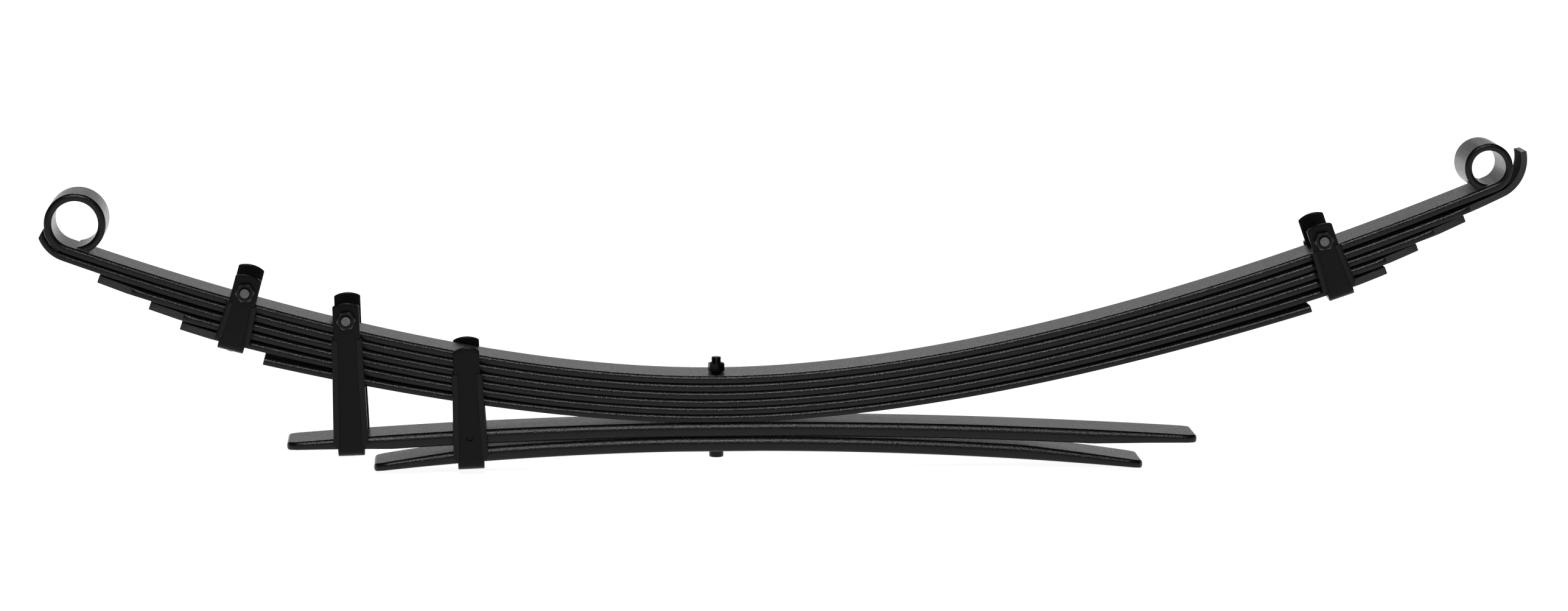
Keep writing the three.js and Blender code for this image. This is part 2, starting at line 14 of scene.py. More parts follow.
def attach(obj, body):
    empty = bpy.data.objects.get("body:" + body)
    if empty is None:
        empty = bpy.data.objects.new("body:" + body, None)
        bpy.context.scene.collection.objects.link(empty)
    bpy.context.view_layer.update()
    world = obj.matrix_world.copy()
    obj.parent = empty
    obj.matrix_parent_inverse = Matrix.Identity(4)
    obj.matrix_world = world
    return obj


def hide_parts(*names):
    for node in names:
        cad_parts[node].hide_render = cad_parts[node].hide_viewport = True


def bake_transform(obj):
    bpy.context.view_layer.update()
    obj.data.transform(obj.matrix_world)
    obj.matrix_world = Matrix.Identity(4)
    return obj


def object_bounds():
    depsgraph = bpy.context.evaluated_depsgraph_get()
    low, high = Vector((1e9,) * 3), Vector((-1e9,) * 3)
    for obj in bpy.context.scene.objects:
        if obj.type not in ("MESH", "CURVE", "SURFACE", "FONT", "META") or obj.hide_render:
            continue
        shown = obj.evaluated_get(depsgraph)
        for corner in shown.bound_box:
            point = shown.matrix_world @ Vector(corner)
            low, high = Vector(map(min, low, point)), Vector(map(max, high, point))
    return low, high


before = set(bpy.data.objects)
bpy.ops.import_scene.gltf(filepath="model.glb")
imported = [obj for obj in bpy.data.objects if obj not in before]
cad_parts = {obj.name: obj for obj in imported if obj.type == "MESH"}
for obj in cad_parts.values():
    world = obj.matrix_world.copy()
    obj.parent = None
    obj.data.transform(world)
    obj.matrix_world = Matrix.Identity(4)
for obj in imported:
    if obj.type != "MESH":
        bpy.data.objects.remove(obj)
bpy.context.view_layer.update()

# ---- Driving dimensions, the same as the CAD model's ----

MM = 0.001
LEAF_HALF = 30
TOUCH_GAP = 0.3
MIDDLE_RADIUS = 955
END_RADIUS = 4485
CAMBER_FADE = 276.5

# Thickness, then the front and rear arms as (length, tip gap).
UPPER_LEAVES = [
    (7.6, (627.5, 0.0), (767.2, 0.0)),
    (7.6, (627.5, 1.0), (767.2, 3.2)),
    (7.0, (590.5, 2.9), (729.5, 1.6)),
    (7.0, (537.5, 2.3), (678.0, 2.1)),
    (7.0, (504.5, 2.9), (643.0, 3.5)),
    (7.0, (422.0, 4.5), (563.5, 3.7)),
]
TRIMMED_LEAVES = (2, 3, 4)
TRIM_LENGTH = 36
TRIM_HALF = 19
LEAF_2_TAPER = 130

HELPER_THICKNESS = 13.7
HELPER_TIP_THICKNESS = 7.2
HELPER_CORNER = 5
# Tip, half of the flat seat, radius and taper length of each arm.
LEAF_7 = {-1: (408, 40, 5400, 100), 1: (459, 70, 6200, 100)}
LEAF_8 = {-1: (326, 40, 3230, 105), 1: (407, 40, 4030, 115)}
STACK_TOP = 2 * HELPER_THICKNESS + TOUCH_GAP + sum(leaf[0] + TOUCH_GAP for leaf in UPPER_LEAVES)

# Inside radius and rolled thickness.
EYES = {-1: (21.8, 7.2), 1: (16.3, 6.8)}
EYE_TAIL_ANGLE = math.radians(22.4)
EYE_TAIL_GAP = 1.6
EYE_THINNING = math.radians(60)
WRAP = {"thickness": 6.3, "gap": 1.0, "outside_end": 49.4, "inside_end": 60.7}
HOOK = {"thickness": 5.9, "outside": 37.7, "offset": (1.3, 5.9), "end": 103.3}
# The hook's sides taper from here to its tip, and it leaves the stack a little before the eye.
HOOK_TAPER_START = 711
HOOK_TIP_HALF = 17
HOOK_LEAD = 15

STRAP = {"half_width": 12.5, "thickness": 4.75, "inside": 34.5, "top_rise": 3.2, "bend": 8.75}
STRAP_OUTSIDE = STRAP["inside"] + STRAP["thickness"]
STRAP_GAP = TOUCH_GAP + 0.1
BOLT = {"diameter": 10, "flats": 16, "head": 6.4, "nut": 8, "stand_out": 2.95, "pitch": 1.5}
CENTRE = {"diameter": 9.5, "flats": 14.3, "nut": 8.4, "stand_out": 14.4, "pitch": 1.6}
CENTRE_HEAD = {"diameter": 13.7, "height": 9}
# How far each nut is turned on its thread, in degrees.
CENTRE_SPIN = 10
NUT_SPIN = {"a": 12, "b": 25, "d": 40}
SPACER_DIAMETER = 13
RIVET = {"diameter": 8, "head_diameter": 18, "head": 5}
SPARE_HOLE = {"diameter": 7, "height": 31}
# The liners' wall, play on the leg, lip over its outer face, half-width at the top and flare at the bottom.
LINER_WALL = 1.7
LINER_PLAY = 0.25
LINER_LAP = 5.8
LINER_HALF = 14.5
LINER_FLARE = 1.85
# Angles in degrees from which an edge of a strap or a liner is drawn sharp.
STRAP_SHARP = 40
LINER_SHARP = 50

# Each clip's leaf, place along X, lean and turn in degrees, leg and bolt heights from the strap's underside,
# the liner's ends, and the CAD body that carries it. Clip c has no bolt.
CLIP_TERMS = ("leaf", "at", "lean", "turn", "leg", "bolt", "liner", "body")
CLIP_VALUES = {
    "a": (5, -454.6, 15.2, 0, 75, 58.6, (10, 46), "front_arm"),
    "b": (7, -347, -1.7, 0, 146.8, 131, (10, 112), "seat"),
    "c": (8, -234, -2.2, 0, 117, None, (10, 92), "seat"),
    "d": (5, 595.5, -19.2, -2.8, 75, 59.2, (10, 51), "rear_arm"),
}
CLIPS = {letter: dict(zip(CLIP_TERMS, values)) for letter, values in CLIP_VALUES.items()}


# ---- Materials ----


def new_material(name):
    """A new material, its node tree and its shader."""
    material = bpy.data.materials.new(name)
    material.use_nodes = True
    tree = material.node_tree
    return material, tree, tree.nodes["Principled BSDF"]


def noise(tree, scale, detail=2.0, roughness=0.5):
    """A noise texture in the piece's own coordinates; scale is in features per metre."""
    place = tree.nodes.new("ShaderNodeTexCoord")
    node = tree.nodes.new("ShaderNodeTexNoise")
    node.inputs["Scale"].default_value = scale
    node.inputs["Detail"].default_value = detail
    node.inputs["Roughness"].default_value = roughness
    tree.links.new(place.outputs["Object"], node.inputs["Vector"])
    return node.outputs["Fac"]


def ramp(tree, value, stops):
    """A colour ramp; its stops are (position, grey level or colour)."""
    node = tree.nodes.new("ShaderNodeValToRGB")
    elements = node.color_ramp.elements
    while len(elements) < len(stops):
        elements.new(0.5)
    for element, (position, level) in zip(elements, stops):
        element.position = position
        colour = level if isinstance(level, tuple) else (level, level, level)
        element.color = (*colour, 1)
    tree.links.new(value, node.inputs["Fac"])
    return node.outputs["Color"]


def bump(tree, heights):
    """Bump nodes in a chain, from (height output, strength, distance in metres)."""
    normal = None
    for height, strength, distance in heights:
        node = tree.nodes.new("ShaderNodeBump")
        node.inputs["Strength"].default_value = strength
        node.inputs["Distance"].default_value = distance
        tree.links.new(height, node.inputs["Height"])
        if normal:
            tree.links.new(normal, node.inputs["Normal"])
        normal = node.outputs["Normal"]
    return normal


def multiply(tree, first, second):
    """The product of two colours."""
    node = tree.nodes.new("ShaderNodeMix")
    node.data_type = "RGBA"
    node.blend_type = "MULTIPLY"
    node.inputs["Factor"].default_value = 1
    tree.links.new(first, node.inputs["A"])
    tree.links.new(second, node.inputs["B"])
    return node.outputs["Result"]


def paint(name, tint, grain, grain_depth, rough, specular):
    """Textured paint: mottled colour, fine pimples of the given size, and slow waves underneath."""
    material, tree, shader = new_material(name)
    speckle = noise(tree, 1 / grain, detail=1.5, roughness=0.55)
    clouds = noise(tree, 22, detail=4, roughness=0.6)
    waves = noise(tree, 160, detail=2)
    dark, light = [tuple(channel * level for channel in tint) for level in (0.72, 1.35)]
    colour = multiply(
        tree,
        ramp(tree, speckle, [(0.32, dark), (0.68, light)]),
        ramp(tree, clouds, [(0.3, 0.8), (0.7, 1.0)]),
    )
    tree.links.new(colour, shader.inputs["Base Color"])
    gloss = ramp(tree, speckle, [(0.3, rough + 0.1), (0.7, rough - 0.06)])
    tree.links.new(gloss, shader.inputs["Roughness"])
    shader.inputs["Specular IOR Level"].default_value = specular
    heights = [(waves, 0.1, 0.0003), (speckle, grain_depth, grain * 0.25)]
    tree.links.new(bump(tree, heights), shader.inputs["Normal"])
    return material


def leaf_paint():
    """Black textured paint with a soft gloss, seen mostly by what it mirrors at a low angle."""
    tint = (0.0047, 0.0046, 0.0044)
    return paint("leaf_paint", tint, grain=0.0009, grain_depth=0.8, rough=0.2, specular=0.18)


def clip_paint():
    """The same black paint, smoother and duller, on the straps."""
    tint = (0.0035, 0.0035, 0.0037)
    return paint("clip_paint", tint, grain=0.0008, grain_depth=0.4, rough=0.24, specular=0.09)


def fastener_paint():
    """Black bolts, nuts, rivets and sleeves."""
    tint = (0.004, 0.004, 0.0042)
    return paint("fastener_paint", tint, grain=0.0009, grain_depth=0.5, rough=0.22, specular=0.14)


def worn_end():
    """The rough end of a stud, where the paint is thin."""
    tint = (0.075, 0.075, 0.075)
    return paint("worn_end", tint, grain=0.0014, grain_depth=1.0, rough=0.35, specular=0.5)


def chamfer_highlight():
    """Painted highlight: a lighter, glossier paint on the chamfers of the nuts, where they catch the light.
    """
    tint = (0.03, 0.03, 0.03)
    return paint("chamfer_highlight", tint, grain=0.0012, grain_depth=0.8, rough=0.3, specular=0.4)


def liner_plastic():
    """Moulded black plastic."""
    tint = (0.0055, 0.0055, 0.006)
    return paint("liner_plastic", tint, grain=0.0007, grain_depth=0.3, rough=0.3, specular=0.12)


def dry_and_shaded_face():
    """The faces between the leaves, where little paint gets in, and the inside of the rear hook: a dull,
    low-gloss paint that keeps them dark, painted shade.
    """
    tint = (0.006, 0.0055, 0.005)
    return paint("dry_and_shaded_face", tint, grain=0.0014, grain_depth=0.8, rough=0.75, specular=0.1)


def sheared_face():
    """Sides cut after rolling: flat, rougher and lighter than the rolled edge."""
    tint = (0.017, 0.017, 0.0172)
    return paint("sheared_face", tint, grain=0.0013, grain_depth=1.0, rough=0.3, specular=0.35)


LEAF = leaf_paint()
# Painted shade: dull paint for the faces between the leaves and the inside of the hook.
DRY_AND_SHADE = dry_and_shaded_face()
SHEARED = sheared_face()
CLIP = clip_paint()
FASTENER = fastener_paint()
# Painted highlight for the nuts' chamfers.
WORN = worn_end()
CHAMFER_HIGHLIGHT = chamfer_highlight()
LINER = liner_plastic()


# ---- Meshes ----


def add_mesh(name, vertices, faces, material, sharp=32):
    """A piece from vertices in millimetres, smooth except where faces meet at more than sharp degrees."""
    mesh = bpy.data.meshes.new(name)
    mesh.from_pydata([Vector(v) * MM for v in vertices], [], faces)
    mesh.materials.append(material)
    work = bmesh.new()
    work.from_mesh(mesh)
    bmesh.ops.remove_doubles(work, verts=work.verts, dist=1e-7)
    bmesh.ops.recalc_face_normals(work, faces=work.faces)
    work.to_mesh(mesh)
    work.free()
    mesh.shade_smooth()
    mesh.set_sharp_from_angle(angle=math.radians(sharp))
    piece = bpy.data.objects.new(name, mesh)
    bpy.context.scene.collection.objects.link(piece)
    return piece


def loft(rings, caps=True, closed=False):
    """Vertices and faces of a skin over rings of points; closed joins the last ring to the first."""
    size = len(rings[0])
    vertices = [point for ring in rings for point in ring]
    count = len(rings) if closed else len(rings) - 1
    faces = []
    for i in range(count):
        here, there = i * size, (i + 1) % len(rings) * size
        faces += [(here + j, here + (j + 1) % size, there + (j + 1) % size, there + j) for j in range(size)]
    if caps and not closed:
        faces += [tuple(range(size)), tuple(range(len(vertices) - size, len(vertices)))]
    return vertices, faces


def turn_mesh(vertices, matrix):
    """The vertices, turned and moved into place."""
    return [matrix @ Vector(v) for v in vertices]


def ease(value):
    """A smooth step from 0 to 1."""
    value = min(1.0, max(0.0, value))
    return value * value * (3 - 2 * value)


# ---- The shape of the leaves ----


def slope_at(length):
    """The leaves' slope at a length from the centre; the camber is tightest in the middle."""
    extra = (1 / MIDDLE_RADIUS - 1 / END_RADIUS) * CAMBER_FADE
    return length / END_RADIUS + extra * (1 - math.exp(-length / CAMBER_FADE))


def camber_table(step=1.0, longest=800):
    """Points along the top of leaf 1, one every step."""
    points = [(0.0, STACK_TOP)]
    for i in range(int(longest / step)):
        slope = slope_at((i + 0.5) * step)
        x, z = points[-1]
        points.append((x + step * math.cos(slope), z + step * math.sin(slope)))
    return points


CAMBER = camber_table()


def stack_point(side, length, depth):
    """The point at a depth below the top of leaf 1, at a length along one arm."""
    i = min(int(length), len(CAMBER) - 2)
    part = length - i
    x = CAMBER[i][0] + (CAMBER[i + 1][0] - CAMBER[i][0]) * part
    z = CAMBER[i][1] + (CAMBER[i + 1][1] - CAMBER[i][1]) * part
    slope = slope_at(length)
    return Vector((side * (x + depth * math.sin(slope)), z - depth * math.cos(slope)))


def arm_of(index, side):
    """The (length, tip gap) of an upper leaf's front (-1) or rear (1) arm."""
    return UPPER_LEAVES[index][1 if side < 0 else 2]


def thickness_at(index, side, length):
    """A leaf's thickness; only leaf 2 thins, towards its wrap and its hook."""
    thickness = UPPER_LEAVES[index][0]
    if index != 1:
        return thickness
    end = WRAP["thickness"] if side < 0 else HOOK["thickness"]
    into = max(0.0, 1 - (arm_of(1, side)[0] - length) / LEAF_2_TAPER)
    return thickness + (end - thickness) * into


def top_depth(index, side, length):
    """How far a leaf's top lies below the top of leaf 1; the gaps open towards the tips."""
    depth = 0.0
    for i in range(1, index + 1):
        arm_length, tip_gap = arm_of(i, side)
        depth += thickness_at(i - 1, side, length)
        depth += TOUCH_GAP + (tip_gap - TOUCH_GAP) * (length / arm_length) ** 2
    return depth


def leaf_pair(index, side, length):
    """The points on a leaf's top and underside, at a length along one arm."""
    depth = top_depth(index, side, length)
    thickness = thickness_at(index, side, length)
    return stack_point(side, length, depth), stack_point(side, length, depth + thickness)


def polar(centre, radius, angle):
    """The point at a radius and an angle from a centre."""
    return Vector((centre[0] + radius * math.cos(angle), centre[1] + radius * math.sin(angle)))


def eye_of(side):
    """An eye's centre, and the direction from it to the place where the leaf meets it."""
    inside = EYES[side][0]
    length = arm_of(0, side)[0]
    return stack_point(side, length, -inside), side * slope_at(length) - math.pi / 2


def eye_pair(side, part):
    """The inner and outer points of a rolled eye; part runs from 0 at the leaf to 1 at the tail."""
    inside, rolled = EYES[side]
    centre, foot = eye_of(side)
    outside_end = 2 * math.pi - math.acos((inside - EYE_TAIL_GAP) / (inside + rolled))
    inside_end = 2 * math.pi - EYE_TAIL_ANGLE
    middle = part * (inside_end + outside_end) / 2
    skew = ease((part - 0.7) / 0.3) * (inside_end - outside_end) / 2
    thin = ease(middle / EYE_THINNING)
    outside = inside + UPPER_LEAVES[0][0] * (1 - thin) + rolled * thin
    inner = polar(centre, inside, foot + side * (middle + skew))
    outer = polar(centre, outside, foot + side * (middle - skew))
    return inner, outer


def wrap_pair(part):
    """Leaf 2 round the front eye."""
    centre, foot = eye_of(-1)
    near = EYES[-1][0] + UPPER_LEAVES[0][0] + WRAP["gap"]
    ends = math.radians(WRAP["inside_end"]), math.radians(WRAP["outside_end"])
    middle = part * sum(ends) / 2
    skew = ease(part) * (ends[0] - ends[1]) / 2
    inner = polar(centre, near, foot - middle - skew)
    outer = polar(centre, near + WRAP["thickness"], foot - middle + skew)
    return inner, outer


def hook_pair(part):
    """Leaf 2's open hook beyond the rear eye."""
    centre, foot = eye_of(1)
    bend = centre + Vector(HOOK["offset"])
    angle = foot + part * (math.radians(HOOK["end"]) - math.pi / 2 - foot)
    inside = HOOK["outside"] - HOOK["thickness"]
    return polar(bend, inside, angle), polar(bend, HOOK["outside"], angle)


# Spacing of the sections along a straight stretch, a trimmed tip, a helper leaf and a roll.
LEAF_STEP = 8
TIP_STEP = 3
HELPER_STEP = 6
ROLL_STEP = 2.5
# Rounding of the leaves' ends, and a limit that shears nothing off the sides.
SHEARED_EDGE = 0.5
HELPER_EDGE = 2.5
UNCUT = 99
# Share of a full turn in an eye, and the mean radius of leaf 2's wrap.
EYE_SHARE = 0.9
WRAP_RADIUS = 33
SHEAR_INSET = 0.4
# The rolled edge bulges as an arc, whose radius is a share of the thickness, between blunted corners.
EDGE_RADIUS = 0.75
BULGE_SHARE = 0.88
BLUNTING = 0.8
ARC_POINTS = 12
# An extra line of points this far in from the edge keeps the faces flat there.
EDGE_BAND = 2.5


def stretch(first, last, step):
    """Evenly spaced places from first to last, at most a step apart."""
    count = max(1, math.ceil((last - first) / step))
    return [first + (last - first) * i / count for i in range(count + 1)]


def nose(end, radius, count=4):
    """Places and insets that round off the last bit of a leaf, ending at end."""
    angles = [math.pi / 2 * i / count for i in range(count + 1)]
    return [(end - radius * (1 - math.sin(a)), radius * (1 - math.cos(a))) for a in angles]


def edge_section(half, thickness, inset):
    """One side of a bar's section with a bulged edge, as (y, depth below the top face)."""
    half, depth = half - inset, thickness - 2 * inset
    radius = EDGE_RADIUS * depth
    sweep = math.asin(depth / 2 / radius)
    corner = half - radius * (1 - math.cos(sweep))
    blunt = BLUNTING * min(1, depth / 4)
    points = [(0, 0), (half * 0.5, 0), (corner - EDGE_BAND, 0), (corner - blunt, 0)]
    points.append((corner - 0.3 * blunt, 0.12 * blunt))
    mirrored = [(y, depth - d) for y, d in reversed(points)]
    for i in range(ARC_POINTS + 1):
        angle = BULGE_SHARE * sweep * (1 - 2 * i / ARC_POINTS)
        points.append((half - radius + radius * math.cos(angle), depth / 2 - radius * math.sin(angle)))
    return [(y, d + inset) for y, d in points + mirrored]


def section_ring(pair, half, limit, inset):
    """A closed ring of points across a leaf; limit is the half-width where its sides are sheared off."""
    top, under = pair
    thickness = (under - top).length
    down = (under - top) / thickness
    right = [(min(y, limit - inset), d) for y, d in edge_section(half, thickness, inset)]
    left = [(-y, d) for y, d in reversed(right[1:-1])]
    return [(top.x + down.x * d, y, top.y + down.y * d) for y, d in right + left]


def roll_steps(roll):
    """Places and insets along a roll of the given length, rounded off at its end."""
    return [(s, 0) for s in stretch(0, roll - 1, ROLL_STEP)[:-1]] + nose(roll, SHEARED_EDGE)


def straight_places(index, side):
    """The places along an arm up to its roll."""
    length = arm_of(index, side)[0]
    return [(leaf_pair(index, side, s), UNCUT, 0) for s in stretch(0, length, LEAF_STEP)[:-1]]


def upper_places(index, side):
    """The places along one arm of an upper leaf, as (pair, half-width limit, inset)."""
    length = arm_of(index, side)[0]
    if index == 0:
        inside = EYES[side][0]
        roll = 2 * math.pi * (inside + UPPER_LEAVES[0][0] / 2) * EYE_SHARE
        rolled = [(eye_pair(side, s / roll), UNCUT, inset) for s, inset in roll_steps(roll)]
        return straight_places(0, side) + rolled
    if index == 1 and side < 0:
        roll = math.radians(WRAP["inside_end"]) * WRAP_RADIUS
        rolled = [(wrap_pair(s / roll), UNCUT, inset) for s, inset in roll_steps(roll)]
        return straight_places(1, side) + rolled
    if index == 1:
        return hook_places(length)
    start = length - TRIM_LENGTH
    widest = LEAF_HALF - SHEAR_INSET
    trimmed = index in TRIMMED_LEAVES
    steps = [(s, 0) for s in stretch(0, start, LEAF_STEP)[:-1]]
    steps += [(s, 0) for s in stretch(start, length - 1, TIP_STEP)[:-1]]
    places = []
    for s, inset in steps + nose(length, SHEARED_EDGE):
        into = max(0.0, (s - start) / TRIM_LENGTH)
        limit = widest - (widest - TRIM_HALF) * into if trimmed and into > 0 else UNCUT
        places.append((leaf_pair(index, side, s), limit, inset))
    return places


def hook_places(length):
    """Leaf 2's rear arm: along the stack, across to the bend, and round it."""
    straight = length - HOOK_LEAD
    roll = HOOK["outside"] * (math.radians(HOOK["end"]) - math.pi / 2 - eye_of(1)[1])
    pairs = [(leaf_pair(1, 1, s), 0) for s in stretch(0, straight, LEAF_STEP)]
    first, last = pairs[-1][0], hook_pair(0)
    pairs += [((first[0].lerp(last[0], t), first[1].lerp(last[1], t)), 0) for t in (0.25, 0.5, 0.75)]
    pairs += [(hook_pair(s / roll), inset) for s, inset in roll_steps(roll)]
    tip = eye_of(1)[0].x + HOOK["outside"]
    places = []
    for pair, inset in pairs:
        into = (pair[1].x - HOOK_TAPER_START) / (tip - HOOK_TAPER_START)
        limit = LEAF_HALF - (LEAF_HALF - HOOK_TIP_HALF) * into if into > 0 else UNCUT
        places.append((pair, limit, inset))
    return places


def mark_faces(piece, covered_top, sheared):
    """Gives the leaf's covered top and the inside of its hook the dull paint for painted shade, and its
    sheared sides their own material.
    """
    mesh = piece.data
    mesh.materials.append(DRY_AND_SHADE)
    mesh.materials.append(SHEARED)
    for face in mesh.polygons:
        # Along the stack the covered face looks up, and in the hook it looks back towards the eye; both get
        # the painted shade.
        in_hook = face.center.x > HOOK_TAPER_START * MM
        covered = face.normal.x < -0.3 if in_hook else face.normal.z > 0.85
        if covered_top and covered:
            face.material_index = 1
        if sheared and sheared(face.center / MM) and abs(face.normal.y) > 0.8:
            face.material_index = 2


def sheared_place(index, side):
    """Tells whether a point is beside the sheared sides of an upper leaf, or None if the leaf has none."""
    if index in TRIMMED_LEAVES:
        start = abs(leaf_pair(index, side, arm_of(index, side)[0] - TRIM_LENGTH)[0].x)
        return lambda point: side * point.x > start and abs(point.y) < LEAF_HALF - 1
    if index == 1 and side > 0:
        return lambda point: point.x > HOOK_TAPER_START + 8
    return None


def upper_leaf(index, side):
    """Half of an upper leaf, from the middle of the seat to its tip, as one fixed piece in place of the
    leaf's seat and arm parts.
    """
    name = "leaf_%d_%s" % (index + 1, "front" if side < 0 else "rear")
    rings = [section_ring(pair, LEAF_HALF, limit, inset) for pair, limit, inset in upper_places(index, side)]
    piece = add_mesh(name, *loft(rings), LEAF)
    mark_faces(piece, index > 0, sheared_place(index, side))
    arm = "front_arm" if side < 0 else "rear_arm"
    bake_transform(piece)
    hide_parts("leaf_%d_%s" % (index + 1, arm), "leaf_%d_seat" % (index + 1))


# ---- The helper leaves ----


def droop(leaf, x):
    """How far a helper leaf has dropped at x: flat over the seat, then a large radius."""
    _, flat, radius, _ = leaf[-1 if x < 0 else 1]
    return max(0.0, x * x - flat * flat) / (2 * radius)


def helper_thickness(leaf, x):
    """A helper leaf's thickness at x, thinning towards its tip."""
    tip, _, _, taper = leaf[-1 if x < 0 else 1]
    into = max(0.0, abs(x) - (tip - taper)) / taper
    return HELPER_THICKNESS + (HELPER_TIP_THICKNESS - HELPER_THICKNESS) * into


def leaf_7_pair(x):
    """Leaf 7's top and underside; its top is the even curve."""
    top = 2 * HELPER_THICKNESS + TOUCH_GAP - droop(LEAF_7, x)
    return Vector((x, top)), Vector((x, top - helper_thickness(LEAF_7, x)))


def leaf_8_pair(x):
    """Leaf 8's top and underside; its underside is the even curve."""
    under = -droop(LEAF_8, x)
    return Vector((x, under + helper_thickness(LEAF_8, x))), Vector((x, under))


def helper_leaf(name, leaf, pair_at):
    """A helper leaf in one piece, with its corners cut and its ends rounded."""
    left, right = leaf[-1][0], leaf[1][0]
    front = [(-s, inset) for s, inset in nose(left, HELPER_EDGE, 6)][::-1]
    rear = nose(right, HELPER_EDGE, 6)
    body = [(x, 0) for x in stretch(-left + 3, right - 3, HELPER_STEP)]
    rings = []
    for x, inset in front + body + rear:
        from_tip = min(right - x, left + x)
        limit = LEAF_HALF - max(0.0, HELPER_CORNER - from_tip)
        rings.append(section_ring(pair_at(x), min(LEAF_HALF, limit), UNCUT, inset))
    piece = add_mesh(name + "_bar", *loft(rings), LEAF)
    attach(piece, "seat")
    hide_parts(name)


# ---- Fasteners, made about Z and then turned into place ----

# The radius of the small flat that ends a turned profile on its axis.
POINT = 0.01


def circle(radius, z, sides=72):
    """A ring of points about Z."""
    turns = [2 * math.pi * i / sides for i in range(sides)]
    return [(radius * math.cos(a), radius * math.sin(a), z) for a in turns]


def thread_rings(radius, pitch, low, high, sides=36, per_turn=10):
    """Rings of a rolled thread that fades out at both ends, with a chamfered point at the high end."""
    depth = 0.6 * pitch
    chamfer = 0.7
    count = math.ceil((high - low) / pitch * per_turn)
    rings = []
    for i in range(count + 1):
        z = low + (high - low) * i / count
        fade = min(1.0, (z - low) / pitch, (high - z) / (0.6 * pitch) + 0.15)
        limit = radius - max(0.0, chamfer - (high - z))
        ring = []
        for j in range(sides):
            turn = j / sides
            wave = 0.5 + 0.5 * math.cos(2 * math.pi * (z / pitch - turn))
            r = min(limit, radius - depth * 0.5 * fade * (1 - wave) - 0.05)
            angle = 2 * math.pi * turn
            ring.append((r * math.cos(angle), r * math.sin(angle), z))
        rings.append(ring)
    return rings


def hexagon_radius(flats, turn):
    """The distance from a hexagon's centre to its side, at an angle."""
    sixth = math.pi / 3
    return flats / 2 / math.cos((turn + sixth / 2) % sixth - sixth / 2)


def hexagon_rings(flats, low, high, both, sides=72):
    """Rings up the side of a hexagon with its corners chamfered at the top, or at both ends."""
    slope = math.tan(math.radians(30))
    face = flats / 2 * 0.98
    corner = flats / math.sqrt(3)
    drop = (corner - face) * slope
    levels = [low, low + drop * 0.35, low + drop * 0.7, low + drop] if both else [low]
    levels += [high - drop, high - drop * 0.7, high - drop * 0.35, high]
    rings = []
    for z in levels:
        limit = face + (high - z) / slope
        if both:
            limit = min(limit, face + (z - low) / slope)
        ring = []
        for i in range(sides):
            turn = 2 * math.pi * i / sides
            r = min(limit, hexagon_radius(flats, turn))
            ring.append((r * math.cos(turn), r * math.sin(turn), z))
        rings.append(ring)
    return rings


def wear_end(bolt):
    """Marks the flat end of the thread: the nearer of the bolt's two many-sided faces."""
    bolt.data.materials.append(WORN)
    flats = [face for face in bolt.data.polygons if len(face.vertices) > 4]
    end = min(flats, key=lambda face: face.center.y)
    end.material_index = 1


def highlight_mouth(nut, across):
    """Marks the countersink and the chamfer of a nut's near face, which get the painted highlight."""
    nut.data.materials.append(CHAMFER_HIGHLIGHT)
    place = across.inverted()
    low = min((place @ (v.co / MM)).z for v in nut.data.vertices)
    for face in nut.data.polygons:
        centre = place @ (face.center / MM)
        sloped = 0.3 < abs(face.normal.y) < 0.95
        if centre.z < low + 1 and sloped:
            face.material_index = 1


def nut_mesh(flats, bore, low, high):
    """A hexagon nut with a countersunk bore."""
    sink = 0.7
    rings = hexagon_rings(flats, low, high, True)
    for radius, z in ((bore + sink, high), (bore, high - sink), (bore, low + sink), (bore + sink, low)):
        rings.append(circle(radius, z))
    return loft(rings, closed=True)


def fastener(name, mesh, matrix, body, node, material=FASTENER, sharp=28):
    """A piece that is made upright, turned into place by the matrix and carried by a body."""
    vertices, faces = mesh
    piece = add_mesh(name, turn_mesh(vertices, matrix), faces, material, sharp)
    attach(piece, body)
    if node:
        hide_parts(node)
    return piece


def centre_bolt():
    """A round head with a flat face below the leaves, and a threaded stud that stands out above the nut."""
    head, radius = CENTRE_HEAD["diameter"] / 2, CENTRE["diameter"] / 2
    low = -TOUCH_GAP - CENTRE_HEAD["height"]
    profile = [(0, low), (head - 1.2, low), (head - 0.4, low + 0.3), (head, low + 1.1)]
    profile += [(head, -TOUCH_GAP - 0.3), (head - 0.3, -TOUCH_GAP), (radius, -TOUCH_GAP)]
    profile.append((radius, STACK_TOP - 4))
    rings = [circle(max(r, POINT), z, 36) for r, z in profile]
    rings += thread_rings(radius, CENTRE["pitch"], STACK_TOP - 3.9, STACK_TOP + CENTRE["stand_out"])
    fastener("centre_bolt_turned", loft(rings), Matrix.Identity(4), "seat", "centre_bolt")


def centre_nut():
    """The nut on top of leaf 1."""
    low = STACK_TOP + TOUCH_GAP
    mesh = nut_mesh(CENTRE["flats"], CENTRE["diameter"] / 2 + TOUCH_GAP, low, low + CENTRE["nut"])
    spin = Matrix.Rotation(math.radians(CENTRE_SPIN), 4, "Z")
    fastener("centre_nut_hexagon", mesh, spin, "seat", "centre_nut")


# ---- The clips, each in its own frame: X along the leaf, Z up the legs, origin at the strap's underside ----


def clip_seat(clip):
    """The leaf's underside and slope at a clip."""
    x = clip["at"]
    if clip["leaf"] == 5:
        side = -1 if x < 0 else 1
        return leaf_pair(4, side, abs(x))[1], side * slope_at(abs(x))
    pair_at = leaf_7_pair if clip["leaf"] == 7 else leaf_8_pair
    slope = math.atan((pair_at(x + 1)[1].y - pair_at(x - 1)[1].y) / 2)
    return pair_at(x)[1], slope


